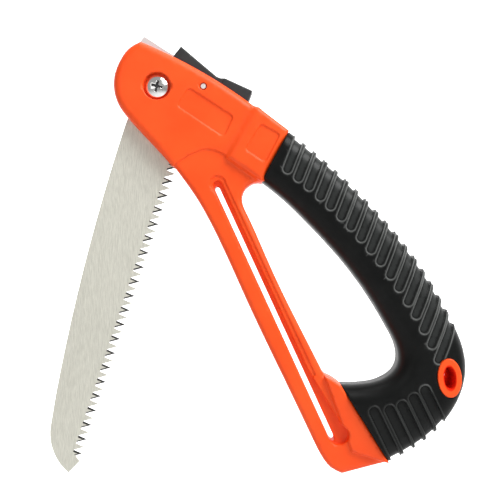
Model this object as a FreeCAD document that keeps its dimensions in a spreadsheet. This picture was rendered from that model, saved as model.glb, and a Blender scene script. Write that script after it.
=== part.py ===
import FreeCAD, Part
import Sketcher
import math
import os

# Folding pruning saw with a D-shaped handle, in millimetres.
# Every outline is drawn in the plane of the blade: X forward along the grip, Z up, pivot at (0, 0).
# Y is the width from cheek to cheek, and the screw head is on the -Y side.
# The placements then move the middle of the grip to the origin.

os.makedirs("parts", exist_ok=True)
doc = FreeCAD.newDocument("folding_saw")
Vec = FreeCAD.Vector

SIZES = [
    ("grip_x", 118.4, "grip centre from the pivot, forward"),
    ("grip_drop", 89.3, "grip centre below the pivot"),
    ("web_width", 15.5, "width of the bar and web"),
    ("head_width", 20.0, "width over the head cheeks"),
    ("collar_width", 24.0, "width over the collar"),
    ("foot_width", 23.0, "width of the frame at the lower end of the rubber"),
    ("core_width", 18.0, "width of the frame inside the rubber"),
    ("core_cover", 3.8, "rubber thickness around the core, in the plane of the blade"),
    ("core_chamfer", 3.0, "chamfer of the core's edges"),
    ("rubber_width", 27.0, "width of the rubber grip"),
    ("rubber_round", 10.0, "edge radius of the rubber grip"),
    ("floor_width", 24.6, "width between the floors of the grip pockets"),
    ("floor_round", 9.0, "edge radius of the pocket floors"),
    ("pocket_depth", 1.2, "depth of the grip pockets"),
    ("pocket_width", 4.7, "width of the back pockets"),
    ("foot_pocket_width", 5.6, "width of the bottom pockets"),
    ("head_chamfer", 2.0, "chamfer of the head's edges"),
    ("collar_round", 1.5, "edge radius of the collar"),
    ("web_chamfer", 2.0, "chamfer of the bar's edges"),
    ("channel_width", 3.2, "width of the blade channel"),
    ("button_slot_width", 10.6, "width of the slot for the button"),
    ("screw_well_diameter", 15.5, "counterbore for the screw heads"),
    ("screw_well_floor", 6.0, "counterbore floor from the mid plane"),
    ("sleeve_bore", 8.0, "bore for the sleeve nut"),
    ("sleeve_diameter", 7.96, "barrel of the sleeve nut"),
    ("sleeve_end", 5.4, "barrel end from the mid plane, on the screw side"),
    ("screw_diameter", 5.0, "pivot screw shank"),
    ("screw_head_diameter", 13.0, "pivot screw head"),
    ("screw_head_height", 2.7, "pivot screw head height"),
    ("spring_washer_height", 0.8, "spring washer under the screw head"),
    ("blade_thickness", 1.2, "saw blade"),
    ("blade_bore", 8.08, "bore of the blade"),
    ("blade_washer_height", 0.92, "washer beside the tang"),
    ("blade_washer_diameter", 13.0, "washer beside the tang, across"),
    ("lever_thickness", 2.5, "lock lever plate"),
    ("button_width", 10.0, "lock button"),
    ("pin_diameter", 3.0, "lever pin"),
    ("pin_length", 19.6, "lever pin"),
    ("label_depth", 0.7, "recesses in the head and collar"),
    ("eyelet_width", 27.2, "width of the frame through the hanging hole"),
    ("through", 60.0, "length of cuts that go right through"),
    ("tooth_bevel", 35.0, "bevel angle of the teeth"),
    ("spring_well_diameter", 5.6, "well for the lock spring"),
    ("spring_radius", 2.1, "mean radius of the lock spring"),
    ("spring_wire", 0.56, "wire of the lock spring"),
    ("spring_pitch", 1.45, "pitch of the lock spring"),
    ("spring_turns", 4.8, "turns of the lock spring"),
    ("ledge_depth", 0.9, "outer step beside the bar slot"),
    ("groove_depth", 3.6, "inner step beside the bar slot"),
]

sheet = doc.addObject("Spreadsheet::Sheet", "Sizes")
for row, (alias, value, note) in enumerate(SIZES, start=1):
    sheet.set(f"A{row}", note)
    sheet.set(f"B{row}", str(value))
    sheet.setAlias(f"B{row}", alias)
doc.recompute()


def size(alias):
    return float(getattr(sheet, alias))


# Outlines. A path is a start point followed by (end,) for a line, (middle, end) for an arc,
# or three or more points for a smooth curve through them.

PIVOT = (0.0, 0.0)
PIN = (26.0, -0.3)
PIN_CLEARANCE = 0.02
LEVER_CLEARANCE = 0.05
EYELET = (163.4, -163.4)
BAR_DIR = (0.4167, -0.9090)
BAR_SIDE = (0.9090, 0.4167)


def bar_point(along, across):
    """Point from a distance down the bar and a distance towards its inner edge."""
    x = BAR_DIR[0] * along + BAR_SIDE[0] * across
    z = BAR_DIR[1] * along + BAR_SIDE[1] * across
    return (x, z)


def turned(point, degrees, about=PIVOT):
    """Point turned clockwise, as the blade opens."""
    a = math.radians(degrees)
    x = point[0] - about[0]
    z = point[1] - about[1]
    return (about[0] + x * math.cos(a) + z * math.sin(a), about[1] - x * math.sin(a) + z * math.cos(a))


def polar(radius, degrees):
    a = math.radians(degrees)
    return (radius * math.cos(a), radius * math.sin(a))


def lines(start, *points):
    return [start] + [(p,) for p in points]


def offset_curve(points, distance):
    """Smooth path moved sideways, to the right of its direction when distance is positive."""
    moved = []
    for i, (x, z) in enumerate(points):
        before = points[max(i - 1, 0)]
        after = points[min(i + 1, len(points) - 1)]
        dx = after[0] - before[0]
        dz = after[1] - before[1]
        length = math.hypot(dx, dz)
        moved.append((x + dz / length * distance, z - dx / length * distance))
    return [moved[0], tuple(moved[1:])]


def reverse(path):
    points = list(path[1])
    points.insert(0, path[0])
    points.reverse()
    return [points[0], tuple(points[1:])]


def closed(*paths):
    """One loop from several paths, joined by straight lines."""
    loop = list(paths[0])
    for path in paths[1:]:
        loop.append((path[0],))
        loop.extend(path[1:])
    loop.append((loop[0],))
    return loop


COLLAR_TOP = (74.2, -25.1)
COLLAR_LOW = (58.7, -53.3)
FOOT_HIGH = (103.3, -168.1)
FOOT_LOW = (130.3, -211.6)
NOSE_TOP = (-9.5, 25.6)

GRIP_BACK = [COLLAR_TOP, (89.2, -37.0), (106.3, -52.0), (123.0, -69.0), (139.6, -88.4), (154.5, -110.0),
             (166.2, -131.5), (172.8, -147.5), (174.3, -160.0), (170.8, -175.0), (163.2, -187.6),
             (148.9, -201.0), FOOT_LOW]
GRIP_INNER = [COLLAR_LOW, (71.5, -63.6), (83.4, -75.1), (103.1, -96.4), (120.3, -119.6), (131.0, -137.8),
              (135.9, -150.0), (134.9, -158.2), (129.4, -163.8), (117.5, -167.6), FOOT_HIGH]

# The head, the collar, the bar with its web, the foot and the core are plates of different widths.
# They run into one another, so their rounded edges never share a face.

WEB_OUTLINE = closed(
    [(3.0, -36.5),
     ((12.5, -49.2), (21.4, -61.8), (31.0, -78.8), (50.6, -121.2), (71.0, -164.0), (87.0, -197.5),
      (93.0, -209.2), (98.0, -215.3), (104.2, -218.4)),
     (FOOT_LOW,)],
    [FOOT_HIGH, ((99.0, -165.2), (94.3, -162.9)),
     ((83.5, -141.6), (72.6, -120.0), (60.6, -94.0), (50.6, -71.8), (47.7, -63.2), (49.4, -57.8),
      (53.6, -54.6), (58.2, -53.2)),
     ((56.5, -44.0),), ((30.0, -25.0),)],
)

HEAD_OUTLINE = [
    NOSE_TOP,
    ((-15.8, 22.0), (-21.0, 15.2), (-24.4, 6.0), (-24.0, -4.6), (-21.2, -11.4), (-16.6, -17.6),
     (-5.8, -29.4), (5.0, -41.1), (9.2, -46.0)),
    ((15.5, -40.4), (22.0, -37.2), (28.5, -35.4), (35.0, -37.3), (44.0, -41.6)),
    ((52.0, -34.0),), ((57.5, -14.6),), ((24.5, 8.7), NOSE_TOP),
]

COLLAR_OUTLINE = lines((55.0, -12.4), (57.0, -12.0), COLLAR_TOP, COLLAR_LOW, (39.6, -40.3), (55.0, -12.4))

FOOT_BASE = lines((97.5, -168.5), (104.4, -169.9), (128.6, -208.8), (112.0, -205.0), (97.5, -168.5))
FOOT_TOP = lines((99.4, -168.9), (104.4, -169.9), (128.6, -208.8), (114.6, -205.7), (99.4, -168.9))
FOOT_CORE = 7.0


def new_body(name):
    body = doc.addObject("PartDesign::Body", name)
    body.Label = name
    return body


def origin_item(body, role):
    return next(item for item in body.Origin.OriginFeatures if item.Role == role)


def add_sketch(body, name, loops=(), circles=(), lift=0.0, role="XZ_Plane"):
    """Sketch on a plane of the body, lifted along the plane's normal (-Y for XZ_Plane)."""
    sketch = body.newObject("Sketcher::SketchObject", name)
    sketch.AttachmentSupport = [(origin_item(body, role), "")]
    sketch.MapMode = "FlatFace"
    sketch.AttachmentOffset = FreeCAD.Placement(Vec(0, 0, lift), FreeCAD.Rotation())
    for loop in loops:
        first = sketch.GeometryCount
        start = loop[0]
        for seg in loop[1:]:
            if len(seg) == 1:
                sketch.addGeometry(Part.LineSegment(Vec(*start, 0), Vec(*seg[0], 0)))
            elif len(seg) == 2:
                sketch.addGeometry(Part.Arc(Vec(*start, 0), Vec(*seg[0], 0), Vec(*seg[1], 0)))
            else:
                curve = Part.BSplineCurve()
                curve.interpolate([Vec(*point, 0) for point in (start,) + seg])
                sketch.addGeometry(curve)
            start = seg[-1]
        if all(len(seg) < 3 for seg in loop[1:]):
            join_loop(sketch, first, [seg[-1] for seg in loop[1:]])
    for x, z, radius in circles:
        sketch.addGeometry(Part.Circle(Vec(x, z, 0), Vec(0, 0, 1), radius))
    return sketch


def join_loop(sketch, first, corners):
    """Coincident constraints at the corners of a loop of lines and arcs."""
    count = len(corners)
    constraints = []
    for i, corner in enumerate(corners):
        here = first + i
        after = first + (i + 1) % count
        ends = []
        for geo in (here, after):
            gaps = [(sketch.getPoint(geo, pos) - Vec(*corner, 0)).Length for pos in (1, 2)]
            ends.append(1 if gaps[0] < gaps[1] else 2)
        constraints.append(Sketcher.Constraint("Coincident", here, ends[0], after, ends[1]))
    sketch.addConstraint(constraints)


def both_ways(body, kind, sketch, alias):
    """Pad or Pocket both ways from the mid plane, its full width from the sheet."""
    feature = body.newObject("PartDesign::" + kind, kind + "_" + sketch.Name)
    feature.Profile = sketch
    feature.Midplane = True
    feature.setExpression("Length", "Sizes." + alias)
    sketch.Visibility = False
    return feature


def one_way(body, kind, sketch, expression, backwards=False):
    """Pad or Pocket one way from its own sketch plane."""
    feature = body.newObject("PartDesign::" + kind, kind + "_" + sketch.Name)
    feature.Profile = sketch
    feature.Reversed = backwards
    feature.setExpression("Length", expression)
    sketch.Visibility = False
    return feature


def mid_of(edge):
    return edge.valueAt((edge.FirstParameter + edge.LastParameter) / 2)


def flat_edge_at(edge, y):
    """True for an edge lying in the plane at this Y."""
    box = edge.BoundBox
    return abs(abs(mid_of(edge).y) - y) < 0.01 and box.YLength < 0.01


def place(obj, x=0.0, z=0.0):
    """Moves a part from its place in the outline plane to its place about the grip."""
    obj.setExpression("Placement.Base.x", f"{x} - Sizes.grip_x")
    obj.setExpression("Placement.Base.z", f"{z} + Sizes.grip_drop")


exports = []


def finish_part(obj):
    place(obj)
    exports.append(obj)
    return obj


def near_line(point, a, b, gap):
    """True for a point within a gap of the straight line from a to b, in the outline plane."""
    dx = b[0] - a[0]
    dz = b[1] - a[1]
    length = math.hypot(dx, dz)
    away = abs((point.x - a[0]) * dz - (point.z - a[1]) * dx) / length
    return away < gap


def plate(name, loop, width_alias, dressing, size_alias, square_ends=()):
    """Plate both ways from the mid plane, its face edges dressed except along the square ends."""
    body = new_body(name)
    both_ways(body, "Pad", add_sketch(body, name + "_outline", [loop]), width_alias)
    doc.recompute()
    base = body.Tip
    names = []
    for i, edge in enumerate(base.Shape.Edges, start=1):
        squares = [near_line(mid_of(edge), a, b, 0.3) for a, b in square_ends]
        if flat_edge_at(edge, size(width_alias) / 2) and not any(squares):
            names.append(f"Edge{i}")
    feature = body.newObject("PartDesign::" + dressing, name + "_edges")
    feature.Base = (base, names)
    feature.setExpression("Size" if dressing == "Chamfer" else "Radius", "Sizes." + size_alias)
    return body


def band(cover, start=None, end=None):
    """Closed outline of the grip, its sides moved in by the cover, with extra points beyond its ends."""
    back = offset_curve(GRIP_BACK, cover)
    inner = reverse(offset_curve(GRIP_INNER, -cover))
    if start is None:
        return closed(back, inner)
    return closed([start[0], (start[1],)], back, [end[0], (end[1],)], inner)


# Orange frame

web = plate("web_plate", WEB_OUTLINE, "web_width", "Chamfer", "web_chamfer", [(FOOT_HIGH, FOOT_LOW)])
head = plate("head_plate", HEAD_OUTLINE, "head_width", "Chamfer", "head_chamfer")
collar_seam = [(COLLAR_TOP, COLLAR_LOW)]
collar = plate("collar_plate", COLLAR_OUTLINE, "collar_width", "Fillet", "collar_round", collar_seam)
core_loop = band(size("core_cover"), ((62.5, -44.0), (66.0, -26.5)), ((121.5, -202.0), (107.5, -179.5)))
core = plate("core_plate", core_loop, "core_width", "Chamfer", "core_chamfer")
rubber = plate("rubber_plate", band(0.0), "rubber_width", "Fillet", "rubber_round",
               [(COLLAR_TOP, COLLAR_LOW), (FOOT_HIGH, FOOT_LOW)])
floor = plate("pocket_floor", band(size("pocket_depth")), "floor_width", "Fillet", "floor_round",
              [(COLLAR_TOP, COLLAR_LOW), (FOOT_HIGH, FOOT_LOW)])


def foot_wedge():
    """Raised foot on each side, level with the end of the rubber, with a steep step down to the bar."""
    body = new_body("foot_wedge")
    low = add_sketch(body, "foot_far", [FOOT_TOP], lift=-size("foot_width") / 2)
    middle = add_sketch(body, "foot_middle", [FOOT_BASE], lift=-FOOT_CORE)
    far = body.newObject("PartDesign::AdditiveLoft", "foot_far_loft")
    far.Profile = low
    far.Sections = [middle]
    far.Ruled = True
    inner = add_sketch(body, "foot_inner", [FOOT_BASE], lift=-FOOT_CORE)
    one_way(body, "Pad", inner, str(2 * FOOT_CORE))
    near_base = add_sketch(body, "foot_near_base", [FOOT_BASE], lift=FOOT_CORE)
    near_top = add_sketch(body, "foot_near_top", [FOOT_TOP], lift=size("foot_width") / 2)
    near = body.newObject("PartDesign::AdditiveLoft", "foot_near_loft")
    near.Profile = near_base
    near.Sections = [near_top]
    near.Ruled = True
    return body


def eyelet_plug(name, half_width, half_height, width_alias):
    """Oval plug along the hanging hole."""
    body = new_body(name)
    sketch = add_sketch(body, name + "_oval")
    centre = Vec(*EYELET, 0)
    lean = Vec(-0.087, 0.996, 0)
    across = Vec(0.996, 0.087, 0)
    sketch.addGeometry(Part.Ellipse(centre + lean * half_height, centre + across * half_width, centre))
    both_ways(body, "Pad", sketch, width_alias)
    return body


def lever_point(along, down):
    """Point from a distance along the lever's straight top edge and a depth below it."""
    x = -7.5 + 0.8387 * along - 0.5446 * down
    z = 28.6 - 0.5446 * along - 0.8387 * down
    return (x, z)


def stadium(start, end, width):
    """Slot outline between two end centres."""
    dx = end[0] - start[0]
    dz = end[1] - start[1]
    length = math.hypot(dx, dz)
    ux, uz = dx / length * width / 2, dz / length * width / 2
    return [(start[0] - uz, start[1] + ux), ((start[0] - ux, start[1] - uz), (start[0] + uz, start[1] - ux)),
            ((end[0] + uz, end[1] - ux),), ((end[0] + ux, end[1] + uz), (end[0] - uz, end[1] + ux)),
            ((start[0] - uz, start[1] + ux),)]


CHANNEL = lines(
    lever_point(69.5, -9.0), lever_point(69.5, 7.8), lever_point(49.8, 7.8), lever_point(48.2, 10.4),
    lever_point(43.8, 12.3), (30.6, -15.0), (35.7, -22.4), (36.6, -28.5), (36.2, -30.1), (90.2, -207.2),
    (70.0, -222.0), (-50.0, -60.0), (-50.0, 45.0), lever_point(69.5, -9.0))
BUTTON_SLOT = lines(lever_point(19.3, -9.0), lever_point(19.3, 5.4), lever_point(43.8, 3.9),
                    lever_point(69.5, 5.0), lever_point(69.5, -9.0), lever_point(19.3, -9.0))
LABEL_HEAD = lines((16.4, -0.9), (43.0, -18.0), (38.4, -27.2), (11.2, -9.2), (16.4, -0.9))
LABEL_COLLAR = lines((59.3, -20.6), (69.0, -26.2), (60.2, -42.6), (49.6, -35.6), (59.3, -20.6))
SLOT = stadium(bar_point(66.2, 6.7), bar_point(222.0, 6.9), 2.7)
GROOVE = [bar_point(64.2, 5.2), (bar_point(62.2, 7.6), bar_point(65.2, 10.3)), (bar_point(180.0, 10.7),),
          (bar_point(219.0, 15.6),), (bar_point(229.0, 14.6),),
          (bar_point(226.6, 7.0), bar_point(221.0, 5.4)),
          (bar_point(64.2, 5.2),)]
LEDGE = [bar_point(64.0, 3.6), (bar_point(59.5, 8.0), bar_point(65.5, 12.6)), (bar_point(185.0, 13.4),),
         (bar_point(186.0, 8.0),), (bar_point(180.0, 4.8),), (bar_point(72.0, 4.8),), (bar_point(64.0, 3.6),)]

cutters = new_body("frame_cutters")
both_ways(cutters, "Pad", add_sketch(cutters, "channel", [CHANNEL]), "channel_width")
both_ways(cutters, "Pad", add_sketch(cutters, "button_slot", [BUTTON_SLOT]), "button_slot_width")

pivot_hole = new_body("pivot_hole")
bore_circle = [(*PIVOT, size("sleeve_bore") / 2)]
both_ways(pivot_hole, "Pad", add_sketch(pivot_hole, "bore", circles=bore_circle), "through")
pin_hole = new_body("pin_hole")
pin_bore_circle = [(*PIN, size("pin_diameter") / 2 + PIN_CLEARANCE)]
both_ways(pin_hole, "Pad", add_sketch(pin_hole, "pin_bore", circles=pin_bore_circle), "through")
bar_slot = new_body("bar_slot")
both_ways(bar_slot, "Pad", add_sketch(bar_slot, "slot", [SLOT]), "through")
eyelet_hole = eyelet_plug("eyelet_hole", 3.35, 6.3, "through")
eyelet_ring = eyelet_plug("eyelet_ring", 6.75, 11.0, "eyelet_width")


def side_cutter(name, loop, inner_face, circle=None):
    """Two slabs that cut the same shape into both sides, down to a distance from the mid plane."""
    pair = []
    for side, tag in ((1, "near"), (-1, "far")):
        body = new_body(name + "_" + tag)
        loops = [loop] if loop else []
        circles = [circle] if circle else []
        sketch = add_sketch(body, name + "_" + tag + "_outline", loops, circles, lift=side * inner_face)
        one_way(body, "Pad", sketch, "20", backwards=side < 0)
        pair.append(body)
    return pair


side_cuts = []
screw_well = (*PIVOT, size("screw_well_diameter") / 2)
side_cuts += side_cutter("screw_well", None, size("screw_well_floor"), screw_well)
side_cuts += side_cutter("label_head", LABEL_HEAD, size("head_width") / 2 - size("label_depth"))
side_cuts += side_cutter("label_collar", LABEL_COLLAR, size("collar_width") / 2 - size("label_depth"))
side_cuts += side_cutter("groove", GROOVE, size("web_width") / 2 - size("groove_depth"))
side_cuts += side_cutter("ledge", LEDGE, size("web_width") / 2 - size("ledge_depth"))

spring_well = doc.addObject("Part::Cylinder", "spring_well")
spring_well.setExpression("Radius", "Sizes.spring_well_diameter / 2")
spring_well.Height = 9.2
SPRING_TOP = lever_point(60.0, 5.0)
SPRING_TURN = FreeCAD.Rotation(Vec(0, 1, 0), 213.0)
spring_well.Placement = FreeCAD.Placement(Vec(SPRING_TOP[0], 0, SPRING_TOP[1]), SPRING_TURN)


def fused(name, shapes):
    result = doc.addObject("Part::MultiFuse", name)
    result.Shapes = shapes
    return result


def cut(name, base, tool):
    result = doc.addObject("Part::Cut", name)
    result.Base = base
    result.Tool = tool
    result.Label = name
    return result


frame_blank = fused("frame_blank", [web, head, collar, core, foot_wedge(), eyelet_ring])
bores = [pivot_hole, pin_hole, bar_slot, eyelet_hole, spring_well]
frame_cuts = fused("frame_cuts", [cutters] + bores + side_cuts)
frame = finish_part(cut("handle_frame", frame_blank, frame_cuts))

# Rubber grip: the full grip less the pockets, over a smaller one that makes the pocket floors.

BACK_POCKETS = 17
POCKET_CENTRES = Part.Arc(Vec(72.5, -48.8, 0), Vec(116.0, -89.8, 0), Vec(153.8, -147.6, 0)).toShape()
FOOT_POCKETS = [(122.2, -183.4), (130.9, -182.4), (138.0, -180.0), (144.6, -175.9), (150.9, -171.4)]


def pocket_loops():
    loops = []
    first = POCKET_CENTRES.FirstParameter
    last = POCKET_CENTRES.LastParameter
    for i in range(BACK_POCKETS):
        u = i / (BACK_POCKETS - 2)
        centre = POCKET_CENTRES.valueAt(first + (last - first) * (0.9 * u + 0.1 * u * u))
        start = (centre.x + 0.9, centre.y + 2.3)
        loops.append(stadium(start, (start[0] + 13.2, start[1] + 33.5), size("pocket_width")))
    for x, z in FOOT_POCKETS:
        loops.append(stadium((x, z), (x + 19.7, z - 40.4), size("foot_pocket_width")))
    return loops


pockets = new_body("grip_pockets")
both_ways(pockets, "Pad", add_sketch(pockets, "pocket_outlines", pocket_loops()), "through")
grip_skin = fused("grip_skin", [cut("grip_ribs", rubber, pockets), floor])
grip = finish_part(cut("grip_overmould", grip_skin, frame_blank))

# Saw blade

BACK_NORMAL = 162.7
BLADE_LOW = 11.3
BLADE_LOBE = 14.0
FOLDED = -35.5
OPEN = 105.0
TOOTH_PITCH = 4.329
TOOTH_DEPTH = 5.5
TOOTH_WIDTH = 4.1
TOOTH_RAKE = 0.5
TOOTH_OVERLAP = 1.6
TEETH_PER_ROW = 21
FIRST_TOOTH = (11.1, -44.6)
LAST_TOOTH = (-45.3, -212.9)
TOOTH_LINE = (-0.3176, -0.9482)
TOOTH_OUT = (0.9482, -0.3176)


def rim(radius, start, end):
    """Arc around the pivot, as a path segment."""
    return (polar(radius, (start + end) / 2), polar(radius, end))


BLADE_OUTLINE = [
    polar(BLADE_LOBE, 20), rim(BLADE_LOBE, 20, 88), (polar(BLADE_LOW, 95),), rim(BLADE_LOW, 95, 150),
    (polar(11.0 / math.cos(math.radians(183 - BACK_NORMAL)), 183),), (polar(BLADE_LOBE, 186),),
    rim(BLADE_LOBE, 186, 200.5), ((-19.2, -21.2),), ((-42.0, -99.4), (-58.6, -174.4)), ((-61.8, -193.7),),
    ((-60.6, -205.8), (-51.5, -219.3)), (LAST_TOOTH,), ((-49.1, -208.0),), ((5.65, -42.8),),
    ((12.3, -42.0),), ((14.2, -37.9),), ((15.0, -30.0),), (polar(BLADE_LOBE, 20),),
]


def notch(turn):
    """Notch for the dropped lever tooth, turned into the blade for one locked position."""
    tip = (-3.76, 11.40)
    out = (0.366, 0.930)
    side = (0.930, -0.366)
    corners = []
    for along, across in ((-1.95, -2.1), (0.6, 2.1), (14.0, 2.1), (14.0, -2.1)):
        x = tip[0] + out[0] * along + side[0] * across
        z = tip[1] + out[1] * along + side[1] * across
        corners.append(turned((x, z), turn))
    return lines(*corners, corners[0])


def tooth_sketch(body, name, first_index, lift):
    """One tooth, in a sketch whose X axis runs down the row of teeth from the first root."""
    sketch = add_sketch(body, name)
    root = (FIRST_TOOTH[0] - TOOTH_OUT[0] * TOOTH_DEPTH, FIRST_TOOTH[1] - TOOTH_OUT[1] * TOOTH_DEPTH)
    turn = FreeCAD.Rotation(Vec(0, 0, 1), math.degrees(math.atan2(TOOTH_LINE[1], TOOTH_LINE[0])))
    sketch.AttachmentOffset = FreeCAD.Placement(Vec(root[0], root[1], lift), turn)
    tip = first_index * TOOTH_PITCH
    reach = (TOOTH_DEPTH + TOOTH_OVERLAP) / TOOTH_DEPTH
    points = [(tip - TOOTH_RAKE * reach, -TOOTH_OVERLAP),
              (tip + (TOOTH_WIDTH - TOOTH_RAKE) * reach, -TOOTH_OVERLAP),
              (tip, TOOTH_DEPTH)]
    for start, end in zip(points, points[1:] + points[:1]):
        sketch.addGeometry(Part.LineSegment(Vec(*start, 0), Vec(*end, 0)))
    sketch.Visibility = False
    return sketch


blade = new_body("saw_blade")
both_ways(blade, "Pad", add_sketch(blade, "blade_outline", [BLADE_OUTLINE]), "blade_thickness")
half_thick = size("blade_thickness") / 2
for tag, index, lift, backwards in (("near", 0, -half_thick, False), ("far", 1, half_thick, True)):
    sketch = tooth_sketch(blade, "tooth_" + tag, index, lift)
    tooth = one_way(blade, "Pad", sketch, "Sizes.blade_thickness", backwards)
    tooth.setExpression("TaperAngle", "-Sizes.tooth_bevel")
    row = blade.newObject("PartDesign::LinearPattern", "teeth_" + tag)
    row.Originals = [tooth]
    row.Direction = (sketch, ["H_Axis"])
    row.Length = (TEETH_PER_ROW - 1) * 2 * TOOTH_PITCH
    row.Occurrences = TEETH_PER_ROW
    blade.Tip = row
sketch = add_sketch(blade, "notches", [notch(-FOLDED), notch(-OPEN)])
both_ways(blade, "Pocket", sketch, "through")
sketch = add_sketch(blade, "blade_bore", circles=[(0, 0, size("blade_bore") / 2)])
both_ways(blade, "Pocket", sketch, "through")
finish_part(blade)

# Pivot hardware, turned about the Y axis. A profile is drawn in the XY plane as (radius, y).


def turned_part(name, profile):
    body = new_body(name)
    sketch = add_sketch(body, name + "_profile", [profile], role="XY_Plane")
    turning = body.newObject("PartDesign::Revolution", name + "_turning")
    turning.Profile = sketch
    turning.ReferenceAxis = (sketch, ["V_Axis"])
    turning.Angle = 360.0
    sketch.Visibility = False
    return body


def dome_mid(edge_y, top_y):
    """Middle point of a domed head's arc, from its rim to its top on the axis."""
    rise = abs(top_y - edge_y)
    radius = (head_r ** 2 + rise ** 2) / (2 * rise)
    angle = math.asin(head_r / radius) / 2
    drop = radius * (1 - math.cos(angle))
    return (radius * math.sin(angle), top_y - math.copysign(drop, top_y - edge_y))


seat = -size("screw_well_floor") - size("spring_washer_height")
head_top = seat - size("screw_head_height")
head_r = size("screw_head_diameter") / 2
shank_r = size("screw_diameter") / 2
screw = turned_part("pivot_screw", [
    (0.0, 4.0), ((shank_r - 0.4, 4.0),), ((shank_r, 3.6),), ((shank_r, seat),), ((head_r - 0.3, seat),),
    ((head_r, seat - 0.4),), ((head_r, seat - 0.9),), (dome_mid(seat - 0.9, head_top), (0.0, head_top)),
    ((0.0, 4.0),)])
CROSS_ARM = 0.75
CROSS_REACH = 3.3
CROSS_TURN = 14
quarter = [(-CROSS_ARM, CROSS_REACH), (CROSS_ARM, CROSS_REACH), (CROSS_ARM, CROSS_ARM)]
cross = [turned(corner, CROSS_TURN + 90 * step) for step in range(4) for corner in quarter]
sketch = add_sketch(screw, "cross_recess", [lines(*cross, cross[0])], lift=0.2 - head_top)
one_way(screw, "Pocket", sketch, "2.3")
finish_part(screw)

barrel_r = size("sleeve_diameter") / 2
tap_r = shank_r + 0.04
nut_seat = size("screw_well_floor")
sleeve = turned_part("pivot_sleeve_nut", [
    (tap_r, -size("sleeve_end")), ((barrel_r, -size("sleeve_end")),), ((barrel_r, nut_seat),),
    ((head_r - 0.3, nut_seat),), ((head_r, nut_seat + 0.4),), ((head_r, nut_seat + 1.4),),
    (dome_mid(nut_seat + 1.4, nut_seat + 2.7), (0.0, nut_seat + 2.7)), ((0.0, 4.6),), ((tap_r, 4.6),),
    ((tap_r, -size("sleeve_end")),)])
driver_slot = lines((-8.0, -0.7), (8.0, -0.7), (8.0, 0.7), (-8.0, 0.7), (-8.0, -0.7))
sketch = add_sketch(sleeve, "driver_slot", [driver_slot], lift=-(nut_seat + 1.5))
one_way(sleeve, "Pocket", sketch, "4", backwards=False)
finish_part(sleeve)

spring_washer = turned_part("pivot_spring_washer", [
    (2.7, seat), ((5.4, seat),), ((5.4, seat + size("spring_washer_height")),),
    ((2.7, seat + size("spring_washer_height")),), ((2.7, seat),)])
split = lines((1.0, -0.5), (7.0, 0.1), (7.0, 0.9), (1.0, 0.3), (1.0, -0.5))
both_ways(spring_washer, "Pocket", add_sketch(spring_washer, "split", [split]), "through")
finish_part(spring_washer)


def ring(name, outer_alias, y):
    """Flat washer beside the tang, starting at a distance from the mid plane."""
    disc = doc.addObject("Part::Cylinder", name + "_disc")
    disc.setExpression("Radius", "Sizes." + outer_alias + " / 2")
    disc.setExpression("Height", "Sizes.blade_washer_height")
    hole = doc.addObject("Part::Cylinder", name + "_hole")
    hole.setExpression("Radius", "Sizes.blade_bore / 2")
    hole.setExpression("Height", "Sizes.blade_washer_height")
    for item in (disc, hole):
        item.Placement = FreeCAD.Placement(Vec(0, y, 0), FreeCAD.Rotation(Vec(1, 0, 0), -90))
    return cut(name, disc, hole)


washer_gap = 0.03
near_y = -half_thick - washer_gap - size("blade_washer_height")
washers = doc.addObject("Part::Compound", "blade_washers")
washers.Links = [ring("washer_near", "blade_washer_diameter", near_y),
                 ring("washer_far", "blade_washer_diameter", half_thick + washer_gap)]
washers.Label = "blade_washers"
finish_part(washers)

# Lock lever, button, pin and spring

lever_outline = [
    lever_point(-1.2, -0.7), (lever_point(-1.5, 3.4),), ((-1.22, 20.47),), ((-4.70, 13.62),),
    ((-0.50, 14.39),), ((1.65, 18.61),), (lever_point(38.9, 3.4),),
    (lever_point(43.8, 11.5), lever_point(49.3, 5.9)), (lever_point(67.0, 5.5),), (lever_point(67.0, 1.0),),
    (lever_point(64.0, 0.0),), (lever_point(60.0, -2.6),), (lever_point(54.0, -2.6),),
    (lever_point(52.0, 0.0),), (lever_point(36.0, 0.0),), (lever_point(34.0, -2.0),),
    (lever_point(28.0, -2.6),), (lever_point(26.0, -0.7),), (lever_point(-1.2, -0.7),)]
lever = new_body("lock_lever")
both_ways(lever, "Pad", add_sketch(lever, "lever_outline", [lever_outline]), "lever_thickness")
sketch = add_sketch(lever, "lever_bore", circles=[(*PIN, size("pin_diameter") / 2 + LEVER_CLEARANCE)])
both_ways(lever, "Pocket", sketch, "through")
finish_part(lever)

button_outline = [
    (9.2, 17.8), ((13.2, 22.8),), ((24.5, 13.2), (33.3, 5.8)), ((35.6, 4.9), (38.0, 4.9)), ((53.1, -2.0),),
    ((51.2, -7.2),), (lever_point(68.0, 2.5),), (lever_point(20.2, 2.5),), ((9.2, 17.8),)]
button = new_body("lock_button")
both_ways(button, "Pad", add_sketch(button, "button_outline", [button_outline]), "button_width")
LEVER_UNDERSIDE = 10
lever_room = lever_outline[:1] + [
    (lever_point(-1.2, 6.0),), (lever_point(72.0, 6.0),), (lever_point(72.0, 0.0),),
] + lever_outline[LEVER_UNDERSIDE:]
both_ways(button, "Pocket", add_sketch(button, "lever_room", [lever_room]), "lever_thickness")
finish_part(button)

pin = new_body("lever_pin")
PIN_END_CHAMFER = 0.3
pin_circle = [(*PIN, size("pin_diameter") / 2)]
both_ways(pin, "Pad", add_sketch(pin, "pin_circle", circles=pin_circle), "pin_length")
doc.recompute()
pin_ends = pin.newObject("PartDesign::Chamfer", "pin_ends")
rims = [f"Edge{i}" for i, edge in enumerate(pin_ends.BaseFeature.Shape.Edges, start=1)
        if flat_edge_at(edge, size("pin_length") / 2)]
pin_ends.Base = (pin_ends.BaseFeature, rims)
pin_ends.Size = PIN_END_CHAMFER
finish_part(pin)


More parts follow.
